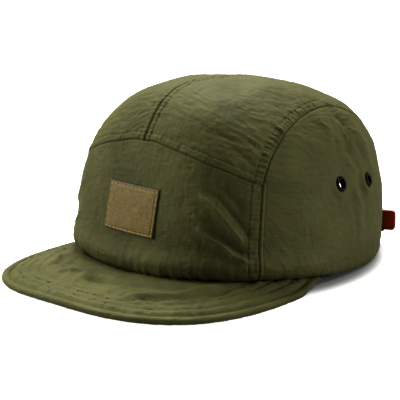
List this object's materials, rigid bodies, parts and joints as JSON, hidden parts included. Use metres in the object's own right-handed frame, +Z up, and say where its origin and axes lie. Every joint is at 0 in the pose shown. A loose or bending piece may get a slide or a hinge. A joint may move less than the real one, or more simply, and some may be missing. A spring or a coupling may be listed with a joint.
{
  "type": "sports cap",
  "caption": "Soft panelled sports cap with a short peak bound at its edge, a bare front patch, side eyelets and an adjustable leather strap across an open arch at the back.",
  "frame": {"origin": "centre of the cap's plan on the surface that it stands on", "axes": "+Z up, -Y to the front of the cap where the peak is, +X to the wearer's left"},
  "size_m": [0.182, 0.2544, 0.1156],
  "materials": {
    "cloth": "matte crinkled nylon, olive green",
    "patch": "matte woven cloth, tan gold, bare",
    "eyelet_metal": "satin black enamel",
    "strap_leather": "smooth red-brown leather",
    "sleeve_metal": "satin black enamel"
  },
  "bodies": {
    "root": {"front_panel": "cloth", "top_panel_left": "cloth", "top_panel_right": "cloth", "side_panel_left": "cloth", "side_panel_right": "cloth", "peak": "cloth", "peak_binding": "cloth", "front_patch": "patch", "eyelet_left_front": "eyelet_metal", "eyelet_left_rear": "eyelet_metal", "eyelet_right_front": "eyelet_metal", "eyelet_right_rear": "eyelet_metal", "back_strap": "strap_leather", "strap_sleeve": "sleeve_metal"}
  },
  "joints": []
}
